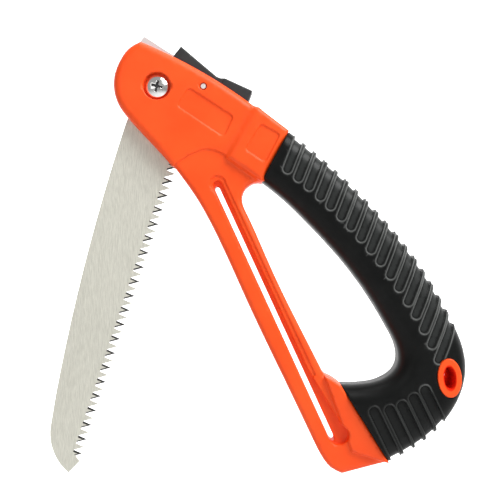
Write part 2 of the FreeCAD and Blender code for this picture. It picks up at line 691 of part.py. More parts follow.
def coil(turns, pitch, radius, wire_radius):
    """Wire coil standing on the XY plane."""
    path = Part.makeHelix(pitch, turns * pitch, radius)
    section = Part.Wire(Part.makeCircle(wire_radius, Vec(radius, 0, 0), Vec(0, 1, 0)))
    return Part.Solid(Part.Shell(path.makePipeShell([section], True, True).Faces))


SPRING_BASE = lever_point(60.0, 13.85)
SPRING_TILT = 33.0
coil_shape = coil(size("spring_turns"), size("spring_pitch"), size("spring_radius"), size("spring_wire") / 2)
spring = doc.addObject("Part::Feature", "lock_spring")
spring.Label = "lock_spring"
spring.Shape = coil_shape
spring.Placement = FreeCAD.Placement(Vec(0, 0, 0), FreeCAD.Rotation(Vec(0, 1, 0), SPRING_TILT))
exports.append(spring)
place(spring, *SPRING_BASE)

doc.recompute()
for obj in doc.Objects:
    if "Invalid" in obj.State or "Error" in obj.State:
        raise RuntimeError(f"{obj.Name} did not build: {obj.State}")
for part in exports:
    if part.Shape.isNull() or not part.Shape.isValid():
        raise RuntimeError(f"{part.Label} has a bad shape")
    part.Shape.exportStep("parts/" + part.Label + ".step")
    print(part.Label, round(part.Shape.Volume, 1), len(part.Shape.Solids), part.Shape.BoundBox)
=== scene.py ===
import math

import bpy
import numpy as np
import openvdb
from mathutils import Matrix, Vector


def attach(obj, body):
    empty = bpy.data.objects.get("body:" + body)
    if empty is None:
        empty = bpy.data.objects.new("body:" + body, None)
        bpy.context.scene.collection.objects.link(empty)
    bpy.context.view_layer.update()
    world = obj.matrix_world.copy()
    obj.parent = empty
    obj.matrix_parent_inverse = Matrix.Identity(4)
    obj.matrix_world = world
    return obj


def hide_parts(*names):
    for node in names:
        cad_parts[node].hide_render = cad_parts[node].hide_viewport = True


# Looks of a folding pruning saw. Outlines are in millimetres in the plane of the blade, with the pivot at
# (0, 0), X towards the grip and Z up; Y is across. The frame, rubber, button, screw head and nut head are
# signed distance fields, meshed and moved to the CAD frame.

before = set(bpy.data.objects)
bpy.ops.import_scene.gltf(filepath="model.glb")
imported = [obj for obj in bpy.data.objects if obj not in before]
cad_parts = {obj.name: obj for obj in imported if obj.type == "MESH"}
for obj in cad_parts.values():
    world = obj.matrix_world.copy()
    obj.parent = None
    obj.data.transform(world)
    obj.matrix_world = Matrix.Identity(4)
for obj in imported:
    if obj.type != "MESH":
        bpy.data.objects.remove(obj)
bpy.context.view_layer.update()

MM = 0.001

# Middle of the grip, which is the CAD frame's origin
GRIP_X = 118.4
GRIP_Z = -89.3

# The camera looks at this point from this far in front of y = 0. SCALE_PLANE in front of y = 0, the
# picture is VIEW_WIDTH wide.
VIEW_CENTRE = (52.26, -92.1)
CAMERA_GAP = 460.0
SCALE_PLANE = 6.0
VIEW_WIDTH = 282.5

# Places on the saw
PIN = (26.0, -0.3)
EYELET = (163.4, -163.4)

# Lean of the eyelet's long axis, so small that its angle in radians is the same as its sine
EYELET_SIN = 0.087
EYELET_COS = 0.996
EYELET_TURN = EYELET_SIN
BORE_ACROSS = 3.2
BORE_ALONG = 6.2
BAR_DIR = (0.4167, -0.9090)
BAR_SIDE = (0.9090, 0.4167)
COLLAR_TOP = (74.2, -25.1)
COLLAR_LOW = (58.7, -53.3)
FOOT_HIGH = (103.3, -168.1)
FOOT_LOW = (130.3, -211.6)
NOSE_TOP = (-9.5, 25.6)
CORNER_SHARE = 1.35


# Outlines

def on_face(points, half):
    """Points of the middle plane moved in, so that they look in place on a face that is nearer the camera."""
    share = (CAMERA_GAP - half) / (CAMERA_GAP - SCALE_PLANE)
    return [(VIEW_CENTRE[0] + (x - VIEW_CENTRE[0]) * share, VIEW_CENTRE[1] + (z - VIEW_CENTRE[1]) * share)
            for x, z in points]


def inset(corners, distance):
    """Corners of a four-sided outline moved towards its middle, so that its sides move in by about this."""
    p = np.array(corners, float)
    centre = p.mean(axis=0)
    away = p - centre
    reach = np.linalg.norm(away, axis=1)[:, None]
    return [tuple(q) for q in centre + away * (1 - CORNER_SHARE * distance / reach)]


def bar_point(along, across):
    """Point along the bar from the pivot and across it."""
    return (BAR_DIR[0] * along + BAR_SIDE[0] * across, BAR_DIR[1] * along + BAR_SIDE[1] * across)


def lever_point(along, down):
    """Point along the lock lever's straight top edge and below it."""
    return (-7.5 + 0.8387 * along - 0.5446 * down, 28.6 - 0.5446 * along - 0.8387 * down)


def smooth(points, step=1.2):
    """Natural cubic spline through the points, sampled."""
    p = np.array(points, float)
    h = np.linalg.norm(np.diff(p, axis=0), axis=1)
    n = len(p)
    matrix = np.eye(n)
    right = np.zeros((n, 2))
    for i in range(1, n - 1):
        matrix[i, i - 1:i + 2] = (h[i - 1], 2 * (h[i - 1] + h[i]), h[i])
        right[i] = 6 * ((p[i + 1] - p[i]) / h[i] - (p[i] - p[i - 1]) / h[i - 1])
    m = np.linalg.solve(matrix, right)
    out = []
    for i in range(n - 1):
        for s in np.linspace(0, h[i], max(2, int(h[i] / step) + 1))[:-1]:
            a = (h[i] - s) / h[i]
            b = s / h[i]
            bend = ((a ** 3 - a) * m[i] + (b ** 3 - b) * m[i + 1]) * h[i] ** 2 / 6
            out.append(tuple(a * p[i] + b * p[i + 1] + bend))
    out.append(tuple(p[-1]))
    return out


def arc(start, middle, end, count=12, over=0):
    """Sampled circular arc through three points, run on by some steps past its end."""
    (ax, az), (bx, bz), (cx, cz) = start, middle, end
    d = 2 * (ax * (bz - cz) + bx * (cz - az) + cx * (az - bz))
    a2, b2, c2 = ax * ax + az * az, bx * bx + bz * bz, cx * cx + cz * cz
    ox = (a2 * (bz - cz) + b2 * (cz - az) + c2 * (az - bz)) / d
    oz = (a2 * (cx - bx) + b2 * (ax - cx) + c2 * (bx - ax)) / d
    radius = math.hypot(ax - ox, az - oz)
    angles = [math.atan2(z - oz, x - ox) for x, z in (start, middle, end)]
    sweep = (angles[2] - angles[0]) % math.tau
    if (angles[1] - angles[0]) % math.tau > sweep:
        sweep -= math.tau
    steps = [angles[0] + sweep * i / count for i in range(count + over + 1)]
    return [(ox + radius * math.cos(t), oz + radius * math.sin(t)) for t in steps]


def offset_curve(points, distance):
    """Curve moved sideways, to the right of its direction."""
    p = np.array(points, float)
    tangent = np.gradient(p, axis=0)
    tangent /= np.linalg.norm(tangent, axis=1)[:, None]
    return [tuple(q) for q in p + np.stack([tangent[:, 1], -tangent[:, 0]], 1) * distance]


GRIP_BACK = smooth([COLLAR_TOP, (89.2, -37.0), (106.3, -52.0), (123.0, -69.0), (139.6, -88.4),
                    (154.5, -110.0), (166.2, -131.5), (172.8, -147.5), (174.3, -160.0), (170.8, -175.0),
                    (163.2, -187.6), (148.9, -201.0), FOOT_LOW])
GRIP_INNER = smooth([COLLAR_LOW, (71.5, -63.6), (83.4, -75.1), (103.1, -96.4), (120.3, -119.6),
                     (131.0, -137.8), (135.9, -150.0), (134.9, -158.2), (129.4, -163.8), (117.5, -167.6),
                     FOOT_HIGH])

WEB = (smooth([(3.0, -36.5), (12.5, -49.2), (21.4, -61.8), (31.0, -78.8), (50.6, -121.2), (71.0, -164.0),
               (87.0, -197.5), (93.0, -209.2), (98.0, -215.3), (104.2, -218.4)])
       + [FOOT_LOW]
       + smooth([FOOT_HIGH, (99.0, -165.2), (94.3, -162.9)])
       + smooth([(94.3, -162.9), (83.5, -141.6), (72.6, -120.0), (60.6, -94.0), (50.6, -71.8), (47.7, -63.2),
                 (49.4, -57.8), (53.6, -54.6), (58.2, -53.2)])[1:]
       + [(56.5, -44.0), (30.0, -25.0)])
HEAD = (smooth([NOSE_TOP, (-15.8, 22.0), (-21.0, 15.2), (-24.4, 6.0), (-24.0, -4.6), (-21.2, -11.4),
                (-16.6, -17.6), (-5.8, -29.4), (5.0, -41.1), (9.2, -46.0)])
        + [(16.0, -55.0), (62.0, -62.0), (58.0, -13.4)]
        + arc((58.0, -13.4), (24.5, 8.9), NOSE_TOP)[1:])
WEB_CREASE = (smooth([(2.0, -55.0), (9.0, -45.0), (15.5, -40.2), (21.5, -37.0), (28.0, -35.2), (34.4, -36.6),
                      (46.0, -44.0), (61.0, -53.4)])
              + [(70.0, -70.0), (10.0, -75.0)])
COLLAR = [(55.0, -12.4), (57.0, -12.0), COLLAR_TOP, COLLAR_LOW, (39.6, -40.3)]
FOOT = [(94.3, -163.0), (99.0, -165.2), FOOT_HIGH, FOOT_LOW, (109.5, -205.6)]
CHANNEL = [lever_point(69.5, -9.0), lever_point(69.5, 7.8), lever_point(49.8, 7.8),
           lever_point(48.2, 10.4), lever_point(43.8, 12.3), (30.6, -15.0), (35.7, -22.4), (36.6, -28.5),
           (36.2, -30.1), (90.2, -207.2), (70.0, -230.0), (-60.0, -60.0), (-60.0, 45.0)]
BUTTON_SLOT = [lever_point(18.6, -9.0), lever_point(18.6, 5.6), lever_point(43.8, 4.0),
               lever_point(70.2, 5.2), lever_point(70.2, -9.0)]
LABEL_HEAD = [(16.4, -0.9), (43.0, -18.0), (38.4, -27.2), (11.2, -9.2)]
LABEL_COLLAR = [(59.3, -20.6), (69.0, -26.2), (60.2, -42.6), (49.6, -35.6)]
GROOVE = (arc(bar_point(64.2, 5.2), bar_point(62.2, 7.6), bar_point(65.2, 10.3))
          + [bar_point(180.0, 10.7)]
          + arc(bar_point(217.0, 15.2), bar_point(226.6, 12.6), bar_point(221.0, 5.4)))
LEDGE = (arc(bar_point(64.0, 3.6), bar_point(59.5, 8.0), bar_point(65.5, 12.6))
         + [bar_point(185.0, 13.4), bar_point(186.0, 8.0), bar_point(180.0, 4.8), bar_point(72.0, 4.8)])
UNDERSIDE_FRONT = lever_point(20.2, 2.5)
UNDERSIDE_BACK = lever_point(68.0, 2.5)
BUTTON = ([(9.2, 17.8), (13.2, 22.8)] + arc((13.2, 22.8), (24.5, 13.2), (33.3, 5.8))[1:]
          + [(35.6, 4.9), (38.0, 4.9), (53.1, -2.0), (51.2, -7.2), UNDERSIDE_BACK, UNDERSIDE_FRONT])


# Signed distance fields on a grid. The frame, rubber and button are mirror images about y = 0, so half a
# grid is enough for them.

class Grid:
    """Even grid of points in a box, and distances in the plane of the blade to outlines."""

    def __init__(self, low, high, step):
        self.step = step
        self.low = [math.floor(v / step) * step for v in low]
        counts = [int(math.ceil((b - a) / step)) + 1 for a, b in zip(self.low, high)]
        self.x = (self.low[0] + step * np.arange(counts[0], dtype=np.float32))[:, None, None]
        self.y = (self.low[1] + step * np.arange(counts[1], dtype=np.float32))[None, :, None]
        self.z = (self.low[2] + step * np.arange(counts[2], dtype=np.float32))[None, None, :]
        self.gx, self.gz = np.meshgrid(self.x[:, 0, 0], self.z[0, 0, :], indexing="ij")

    def polygon(self, points, margin=8.0):
        """Distance to a closed outline in the plane of the blade, exact near it."""
        p = np.array(points, np.float32)
        result = np.full(self.gx.shape, margin, np.float32)
        near = ((self.gx > p[:, 0].min() - margin) & (self.gx < p[:, 0].max() + margin)
                & (self.gz > p[:, 1].min() - margin) & (self.gz < p[:, 1].max() + margin))
        x = self.gx[near]
        z = self.gz[near]
        best = np.full(x.shape, 1e9, np.float32)
        inside = np.zeros(x.shape, bool)
        for (ax, az), (bx, bz) in zip(p, np.roll(p, -1, axis=0)):
            dx, dz = bx - ax, bz - az
            length = dx * dx + dz * dz
            if length < 1e-9:
                continue
            t = np.clip(((x - ax) * dx + (z - az) * dz) / length, 0, 1)
            best = np.minimum(best, (x - ax - t * dx) ** 2 + (z - az - t * dz) ** 2)
            crosses = (az > z) != (bz > z)
            if crosses.any():
                inside ^= crosses & (x < ax + (z - az) * dx / (dz if dz else 1e-9))
        result[near] = np.sqrt(best) * np.where(inside, -1, 1)
        return result[:, None, :]

    def circle(self, centre, radius):
        """Distance to a circle in the plane of the blade."""
        return (np.hypot(self.gx - centre[0], self.gz - centre[1]) - radius)[:, None, :]

    def oval(self, half_across, half_along):
        """About the distance to an ellipse round the eyelet's middle."""
        u = (self.gx - EYELET[0]) * EYELET_COS + (self.gz - EYELET[1]) * EYELET_SIN
        v = -(self.gx - EYELET[0]) * EYELET_SIN + (self.gz - EYELET[1]) * EYELET_COS
        near = np.hypot(u / half_across, v / half_along)
        return ((near - 1) * near / (np.hypot(u / half_across ** 2, v / half_along ** 2) + 1e-6))[:, None, :]

    def capsule(self, start, end, radius):
        """Distance to a straight slot with round ends."""
        dx, dz = end[0] - start[0], end[1] - start[1]
        t = np.clip(((self.gx - start[0]) * dx + (self.gz - start[1]) * dz) / (dx * dx + dz * dz), 0, 1)
        gap = np.hypot(self.gx - start[0] - t * dx, self.gz - start[1] - t * dz) - radius
        return gap[:, None, :]

    def beyond(self, a, b):
        """Positive to the left of the line from a to b."""
        dx, dz = b[0] - a[0], b[1] - a[1]
        length = math.hypot(dx, dz)
        return (((self.gz - a[1]) * dx - (self.gx - a[0]) * dz) / length)[:, None, :]


def plate(outline, y, half, rounding):
    """Extrusion both ways from y = 0 with rounded edges."""
    qx = outline + rounding
    qy = np.abs(y) - half + rounding
    return np.minimum(np.maximum(qx, qy), 0) + np.hypot(np.maximum(qx, 0), np.maximum(qy, 0)) - rounding


def sunk(outline, y, floor):
    """Hollow with this outline, from y = floor outwards."""
    return np.maximum(outline, floor - y)


def buried(outline, y, half):
    """Hollow with this outline, as far as y = half."""
    return np.maximum(outline, y - half)


def through(outline, y):
    """Hollow with this outline, all the way across."""
    return outline + 0 * y


def join(a, b, blend):
    """Both shapes in one, with a fillet about as wide as the blend."""
    h = np.maximum(blend - np.abs(a - b), 0) / blend
    return np.minimum(a, b) - h * h * blend * 0.25


def carve(a, b, blend):
    """What is left of a outside b, its new edges rounded."""
    return -join(-a, b, blend)


def meshed(name, grid, field, mirror=True, adaptivity=0.02):
    """Mesh of a distance field, in metres in the CAD frame, with normals from the field."""
    if mirror:
        field = np.concatenate([field[:, :0:-1, :], field], axis=1)
        y_low = -grid.y[0, -1, 0]
    else:
        y_low = grid.y[0, 0, 0]
    step = grid.step
    vdb = openvdb.FloatGrid(4 * step)
    vdb.copyFromArray(np.ascontiguousarray(np.clip(field, -3 * step, 3 * step), dtype=np.float32))
    points, triangles, quads = vdb.convertToPolygons(isovalue=0.0, adaptivity=adaptivity)
    faces = [tuple(int(v) for v in f) for f in triangles] + [tuple(int(v) for v in f) for f in quads]
    low = np.array([grid.low[0], y_low, grid.low[2]])
    mm = points.astype(float) * step + low
    mesh = bpy.data.meshes.new(name)
    mesh.from_pydata(((mm - (GRIP_X, 0, GRIP_Z)) * MM).tolist(), [], faces)
    mesh.validate()
    normals = field_normals(field, points)
    mesh.polygons.foreach_set("use_smooth", np.ones(len(mesh.polygons), bool))
    mesh.normals_split_custom_set_from_vertices(normals.tolist())
    obj = bpy.data.objects.new(name, mesh)
    bpy.context.scene.collection.objects.link(obj)
    return obj


def field_normals(field, points):
    """Gradient of the field at each point, by trilinear sampling either side."""
    def sample(p):
        p = np.clip(p, 0, np.array(field.shape) - 1.001)
        i = p.astype(int)
        f = (p - i).astype(np.float32)
        total = np.zeros(len(p), np.float32)
        for cx in (0, 1):
            for cy in (0, 1):
                for cz in (0, 1):
                    weight = (np.where(cx, f[:, 0], 1 - f[:, 0]) * np.where(cy, f[:, 1], 1 - f[:, 1])
                              * np.where(cz, f[:, 2], 1 - f[:, 2]))
                    total += weight * field[i[:, 0] + cx, i[:, 1] + cy, i[:, 2] + cz]
        return total
    reach = 0.75
    axes = []
    for axis in range(3):
        shift = np.zeros(3)
        shift[axis] = reach
        axes.append(sample(points + shift) - sample(points - shift))
    normals = np.stack(axes, 1)
    return normals / (np.linalg.norm(normals, axis=1)[:, None] + 1e-9)


# Orange moulded frame. A half is a distance from the mid plane to a face, a floor one to a recess's bottom.

GRID_STEP = 0.4
HEAD_HALF = 10.0
HEAD_ROUND = 4.2
WEB_HALF = 7.75
WEB_ROUND = 3.0
COLLAR_HALF = 11.5
COLLAR_ROUND = 2.6
FOOT_SLOPE = 0.12
FOOT_THINNEST = 9.0
FOOT_ROUND = 1.2
CORE_HALF = 9.0
CORE_ROUND = 3.0
CORE_COVER = 3.8
CORE_PAST_SEAM = 3.0
EYELET_HALF = 13.6
EYELET_ACROSS = 6.75
EYELET_ALONG = 11.0
EYELET_EDGE = 0.5
CREASE_HALF = 8.8
CREASE_SLOPE = 0.14
CREASE_NORMAL = 1.01  # length of the slope's normal
LABEL_ROUND_HEAD = 2.2
LABEL_FLOOR_HEAD = 9.1
LABEL_ROUND_COLLAR = 2.0
LABEL_FLOOR_COLLAR = 10.6
LEDGE_FLOOR = 6.85
GROOVE_FLOOR = 4.15
SLOT_TOP = bar_point(66.2, 6.7)
SLOT_END = bar_point(222.0, 6.9)
SLOT_RADIUS = 1.35
WELL_RADIUS = 7.75
WELL_FLOOR = 6.0
SLEEVE_BORE = 4.0
PIN_BORE = 1.52
PIN_RING = 2.0
PIN_RING_FLOOR = 8.0
BORE_DRAFT = 0.03
CHANNEL_HALF = 1.6
BUTTON_SLOT_HALF = 5.3
PAST_COLLAR = (-0.83, 0.56)
PAST_FOOT = (-0.88, -0.47)


def band(grid, cover, run_out=14.0):
    """Distance to the long grip shape, its sides moved in, its ends run out past both seams."""
    back = offset_curve(GRIP_BACK, cover)
    inner = offset_curve(GRIP_INNER, -cover)
    start = (PAST_COLLAR[0] * run_out, PAST_COLLAR[1] * run_out)
    end = (PAST_FOOT[0] * run_out, PAST_FOOT[1] * run_out)
    points = ([(back[0][0] + start[0], back[0][1] + start[1])] + back
              + [(back[-1][0] + end[0], back[-1][1] + end[1])]
              + [(inner[-1][0] + end[0], inner[-1][1] + end[1] * 0.2)]
              + inner[::-1] + [(inner[0][0] + start[0], inner[0][1] + start[1])])
    return grid.polygon(points, margin=16.0)


def label_recess(grid, corners, half, rounding, floor):
    """Blank field with round corners, sunk into the face at this half width."""
    outline = grid.polygon(inset(on_face(corners, half), rounding)) - rounding
    return sunk(outline, grid.y, floor)


def frame_solids(grid):
    """Head, bar, collar, foot, core and eyelet boss, joined."""
    y = grid.y
    head = plate(grid.polygon(HEAD), y, HEAD_HALF, HEAD_ROUND)
    crease = grid.polygon(WEB_CREASE, margin=20.0)
    slope = (CREASE_HALF + CREASE_SLOPE * np.maximum(crease, 0) - y) / CREASE_NORMAL
    head = carve(head, slope, 1.6)
    head = carve(head, through(crease, y), 0.5)
    web = plate(grid.polygon(WEB), y, WEB_HALF, WEB_ROUND)
    collar = plate(grid.polygon(COLLAR), y, COLLAR_HALF, COLLAR_ROUND)
    foot_line = grid.beyond(FOOT_HIGH, FOOT_LOW)
    foot_half = np.clip(COLLAR_HALF + FOOT_SLOPE * foot_line, FOOT_THINNEST, COLLAR_HALF)
    foot = plate(grid.polygon(FOOT), y, foot_half, FOOT_ROUND)
    seam = -grid.beyond(COLLAR_TOP, COLLAR_LOW)
    core = plate(band(grid, CORE_COVER), y, CORE_HALF, CORE_ROUND)
    core = np.maximum(core, np.maximum(seam - CORE_PAST_SEAM, -foot_line - CORE_PAST_SEAM))
    boss = plate(grid.oval(EYELET_ACROSS, EYELET_ALONG), y, EYELET_HALF, EYELET_EDGE)
    body = head
    for solid, fillet in ((web, 0.7), (collar, 3.0), (foot, 1.4), (core, 0.3), (boss, 0.3)):
        body = join(body, solid, fillet)
    return body


def frame_piece():
    """The frame's solids with the recesses, slots and bores carved out, each with its edge rounding."""
    grid = Grid((-27.0, 0.0, -221.0), (177.0, 14.8, 31.0), GRID_STEP)
    y = grid.y
    bore_wall = grid.oval(BORE_ACROSS, BORE_ALONG) + BORE_DRAFT * (EYELET_HALF - y)
    body = frame_solids(grid)
    for hollow, edge in (
            (label_recess(grid, LABEL_HEAD, HEAD_HALF, LABEL_ROUND_HEAD, LABEL_FLOOR_HEAD), 0.7),
            (label_recess(grid, LABEL_COLLAR, COLLAR_HALF, LABEL_ROUND_COLLAR, LABEL_FLOOR_COLLAR), 0.7),
            (sunk(grid.polygon(LEDGE), y, LEDGE_FLOOR), 0.5),
            (sunk(grid.polygon(GROOVE), y, GROOVE_FLOOR), 1.0),
            (through(grid.capsule(SLOT_TOP, SLOT_END, SLOT_RADIUS), y), 0.5),
            (sunk(grid.circle((0, 0), WELL_RADIUS), y, WELL_FLOOR), 0.6),
            (through(grid.circle((0, 0), SLEEVE_BORE), y), 0.2),
            (through(grid.circle(PIN, PIN_BORE), y), 0.3),
            (sunk(grid.circle(PIN, PIN_RING), y, PIN_RING_FLOOR), 0.2),
            (bore_wall, 0.3),
            (buried(grid.polygon(CHANNEL, margin=12.0), y, CHANNEL_HALF), 0.5),
            (buried(grid.polygon(BUTTON_SLOT), y, BUTTON_SLOT_HALF), 0.4)):
        body = carve(body, hollow, edge)
    return meshed("moulded_frame", grid, body, adaptivity=0.12)


# Black rubber grip

RUBBER_HALF = 13.5
RUBBER_ROUND = 10.0
RUBBER_FIT = 0.05
EYELET_FIT = 0.1
BACK_POCKETS = 17
POCKET_STEPS = 150
POCKET_OVERRUN = 14
POCKET_ARC = arc((72.5, -48.8), (116.0, -89.8), (153.8, -147.6), POCKET_STEPS, POCKET_OVERRUN)
POCKET_SPACING = (0.9, 0.1)  # even share along the arc, and a share that grows with the square
POCKET_START = (0.9, 2.3)
POCKET_RUN = (13.2, 33.5)
POCKET_RADIUS = 2.35
POCKET_DEPTH = 1.3
POCKET_HALF = 12.0
BEAD_HEIGHT = 0.5
BEAD_GAP = 0.45
# Painted light on the pockets: width of the rims' painted highlight, fade of the floors' painted sheen, where
# the rims' highlight starts and fades in away from the mid plane, and where and how far it all weakens on the
# foot's pockets
RIM_HIGHLIGHT_WIDTH = 0.42
FLOOR_SHEEN_FADE = 0.5
RIM_HIGHLIGHT_FROM = 4.0
RIM_HIGHLIGHT_FADE = 3.0
FOOT_POCKETS_TOP = -174.0
FOOT_POCKETS_FADE = 8.0
FOOT_POCKETS_LIGHT_SHARE = 0.25
FOOT_POCKET_RUN = (19.7, -40.4)
FOOT_POCKET_RADIUS = 2.8
FOOT_POCKETS = [(122.2, -183.4), (130.9, -182.4), (138.0, -180.0), (144.6, -175.9), (150.9, -171.4)]


def grip_pockets(grid):
    """Distance to the nearest pocket, those on the back a little further apart towards the eyelet."""
    pockets = np.full((grid.gx.shape[0], 1, grid.gx.shape[1]), 9.0, np.float32)
    for i in range(BACK_POCKETS):
        u = i / (BACK_POCKETS - 2)
        share = POCKET_SPACING[0] * u + POCKET_SPACING[1] * u * u
        centre = POCKET_ARC[int(round(POCKET_STEPS * share))]
        (start,) = on_face([(centre[0] + POCKET_START[0], centre[1] + POCKET_START[1])], POCKET_HALF)
        end = (start[0] + POCKET_RUN[0], start[1] + POCKET_RUN[1])
        pockets = np.minimum(pockets, grid.capsule(start, end, POCKET_RADIUS))
    for x, z in on_face(FOOT_POCKETS, POCKET_HALF):
        end = (x + FOOT_POCKET_RUN[0], z + FOOT_POCKET_RUN[1])
        pockets = np.minimum(pockets, grid.capsule((x, z), end, FOOT_POCKET_RADIUS))
    return pockets


def rubber_piece():
    """The grip with a bead round each pocket, hollow where the frame's core goes."""
    grid = Grid((54.0, 0.0, -216.0), (178.0, 14.8, -20.0), GRID_STEP)
    y = grid.y
    skin = plate(band(grid, 0.0), y, RUBBER_HALF, RUBBER_ROUND)
    pockets = grip_pockets(grid)
    bead = BEAD_HEIGHT * np.exp(-((pockets - BEAD_GAP) / BEAD_GAP) ** 2)
    body = skin - bead
    body = carve(body, np.maximum(pockets, -(skin + POCKET_DEPTH)), 0.6)
    boss = grid.oval(EYELET_ACROSS + EYELET_FIT, EYELET_ALONG + EYELET_FIT)
    body = carve(body, through(boss, y), 0.5)
    for seam in (grid.beyond(COLLAR_TOP, COLLAR_LOW), grid.beyond(FOOT_HIGH, FOOT_LOW)):
        body = carve(body, through(seam - RUBBER_FIT, y), 0.8)
    core = plate(band(grid, CORE_COVER + RUBBER_FIT), y, CORE_HALF - RUBBER_FIT, CORE_ROUND)
    body = carve(body, core, 0.2)
    obj = meshed("rubber_grip", grid, body, adaptivity=0.05)
    paint_pocket_light(obj, grid, pockets[:, 0, :])
    return obj


def paint_pocket_light(obj, grid, pockets):
    """Stores how far each vertex is on a pocket's floor or on its rim, as shares of the painted sheen on the
    floors and the painted highlight on the rims, less so on the foot's pockets.
    """
    mesh = obj.data
    flat = np.empty(3 * len(mesh.vertices), np.float32)
    mesh.vertices.foreach_get("co", flat)
    mm = flat.reshape(-1, 3) / MM + np.array((GRIP_X, 0, GRIP_Z))
    u = np.clip((mm[:, 0] - grid.low[0]) / grid.step, 0, pockets.shape[0] - 1.001)
    v = np.clip((mm[:, 2] - grid.low[2]) / grid.step, 0, pockets.shape[1] - 1.001)
    i, k = u.astype(int), v.astype(int)
    u, v = u - i, v - k
    gap = (pockets[i, k] * (1 - u) * (1 - v) + pockets[i + 1, k] * u * (1 - v)
           + pockets[i, k + 1] * (1 - u) * v + pockets[i + 1, k + 1] * u * v)
    # Painted light: the rims' highlight only on the outer faces, the floors' sheen and the highlight both
    # weaker on the foot's pockets
    side = np.clip((np.abs(mm[:, 1]) - RIM_HIGHLIGHT_FROM) / RIM_HIGHLIGHT_FADE, 0, 1)
    back = np.clip((mm[:, 2] - FOOT_POCKETS_TOP) / FOOT_POCKETS_FADE, FOOT_POCKETS_LIGHT_SHARE, 1)
    floor = back * np.clip((-FLOOR_SHEEN_FADE - gap) / FLOOR_SHEEN_FADE, 0, 1)
    rim_highlight = back * side * np.exp(-((gap - BEAD_GAP) / RIM_HIGHLIGHT_WIDTH) ** 2)
    for name, share in (("pocket_floor", floor), ("pocket_rim_highlight", rim_highlight)):
        layer = mesh.attributes.new(name, "FLOAT", "POINT")
        layer.data.foreach_set("value", share.astype(np.float32))


# Button and pivot screws

BUTTON_HALF = 5.0
BUTTON_ROUND = 0.7
BUTTON_SWELL = 0.4
STEP_LINE = ((37.6, 6.4), (34.6, -3.0))
STEP_LINE_HALF = 0.16
STEP_LINE_FLOOR = 4.6
LEVER_ROOM = [lever_point(-1, -1.6), lever_point(70, -1.6), lever_point(70, 8), lever_point(-1, 8)]
LEVER_ROOM_HALF = 1.28


def button_piece():
    """Rocker cap with a line across each side at its step, hollow over the lever."""
    grid = Grid((5.0, 0.0, -16.0), (57.0, 6.0, 26.0), 0.25)
    y = grid.y
    underside = -grid.beyond(UNDERSIDE_FRONT, UNDERSIDE_BACK)
    outline = np.maximum(grid.polygon(BUTTON) - BUTTON_SWELL, underside)
    body = plate(outline, y, BUTTON_HALF, BUTTON_ROUND)
    step = grid.capsule(*STEP_LINE, STEP_LINE_HALF)
    body = carve(body, sunk(step, y, STEP_LINE_FLOOR), 0.25)
    body = carve(body, buried(grid.polygon(LEVER_ROOM), y, LEVER_ROOM_HALF), 0.2)
    return meshed("button_cap", grid, body)


HEAD_RADIUS = 6.5
HEAD_EDGE = 0.35
SCREW_TOP = -9.5
SCREW_SEAT = -6.8
SCREW_DOME = 12.64
RECESS_FLOOR = -7.6
RECESS_TAPER = 0.12
RECESS_MARGIN = 0.3
CROSS_TURN = 14
CROSS_ARM = 0.8
CROSS_REACH = 3.3
CROSS_HUB = 1.45
NUT_TOP = 8.7
NUT_SEAT = 6.0
NUT_DOME = 16.9
SLOT_HALF = 0.7
SLOT_FLOOR = 7.5


def turned_grid(y_low, y_high):
    """Fine grid round the pivot's axis."""
    return Grid((-7.2, y_low, -7.2), (7.2, y_high, 7.2), 0.14)


def round_head(r, ends):
    """Disc of the heads' radius between two ends, its edges rounded."""
    qx, qy = r - HEAD_RADIUS + HEAD_EDGE, ends + HEAD_EDGE
    return np.minimum(np.maximum(qx, qy), 0) + np.hypot(np.maximum(qx, 0), np.maximum(qy, 0)) - HEAD_EDGE


def screw_piece():
    """Domed head with a cross recess, the recess's faces in a dark steel as painted shade."""
    grid = turned_grid(-10.2, -6.2)
    r = np.hypot(grid.gx, grid.gz)[:, None, :]
    y = grid.y
    dome = SCREW_TOP - y + (SCREW_DOME - np.sqrt(np.maximum(SCREW_DOME ** 2 - r * r, 0)))
    head = round_head(r, np.maximum(dome, y - SCREW_SEAT))
    a = math.radians(CROSS_TURN)
    u = np.abs(grid.gx * math.cos(a) - grid.gz * math.sin(a))[:, None, :]
    v = np.abs(grid.gx * math.sin(a) + grid.gz * math.cos(a))[:, None, :]
    narrow = RECESS_TAPER * (y - RECESS_FLOOR)
    arms = np.minimum(np.maximum(u - CROSS_ARM, v - CROSS_REACH), np.maximum(v - CROSS_ARM, u - CROSS_REACH))
    recess = np.maximum(np.minimum(arms, r - CROSS_HUB) - narrow, y - RECESS_FLOOR)
    head = carve(head, recess, 0.25)
    obj = meshed("screw_head", grid, head, mirror=False)
    obj.data.materials.append(POLISHED)
    obj.data.materials.append(RECESS_SHADE)
    for face in obj.data.polygons:
        x, depth, z = face.center / MM + Vector((GRIP_X, 0, GRIP_Z))
        reach = math.hypot(x, z)
        surface = SCREW_TOP + SCREW_DOME - math.sqrt(SCREW_DOME ** 2 - min(reach, HEAD_RADIUS) ** 2)
        # Faces sunk in the cross recess get the dark steel of the painted shade
        if reach < CROSS_REACH + RECESS_MARGIN and depth - surface > RECESS_MARGIN:
            face.material_index = 1
    return obj


def nut_piece():
    """Domed head with a screwdriver slot."""
    grid = turned_grid(5.4, 9.4)
    r = np.hypot(grid.gx, grid.gz)[:, None, :]
    y = grid.y
    dome = y - NUT_TOP + (NUT_DOME - np.sqrt(np.maximum(NUT_DOME ** 2 - r * r, 0)))
    head = round_head(r, np.maximum(dome, NUT_SEAT - y))
    head = carve(head, sunk(np.abs(grid.gz)[:, None, :] - SLOT_HALF, y, SLOT_FLOOR), 0.25)
    return meshed("nut_head", grid, head, mirror=False)


# Materials

def material(name):
    """A new material, its node tree and its shader."""
    mat = bpy.data.materials.new(name)
    mat.use_nodes = True
    tree = mat.node_tree
    return mat, tree, tree.nodes["Principled BSDF"]


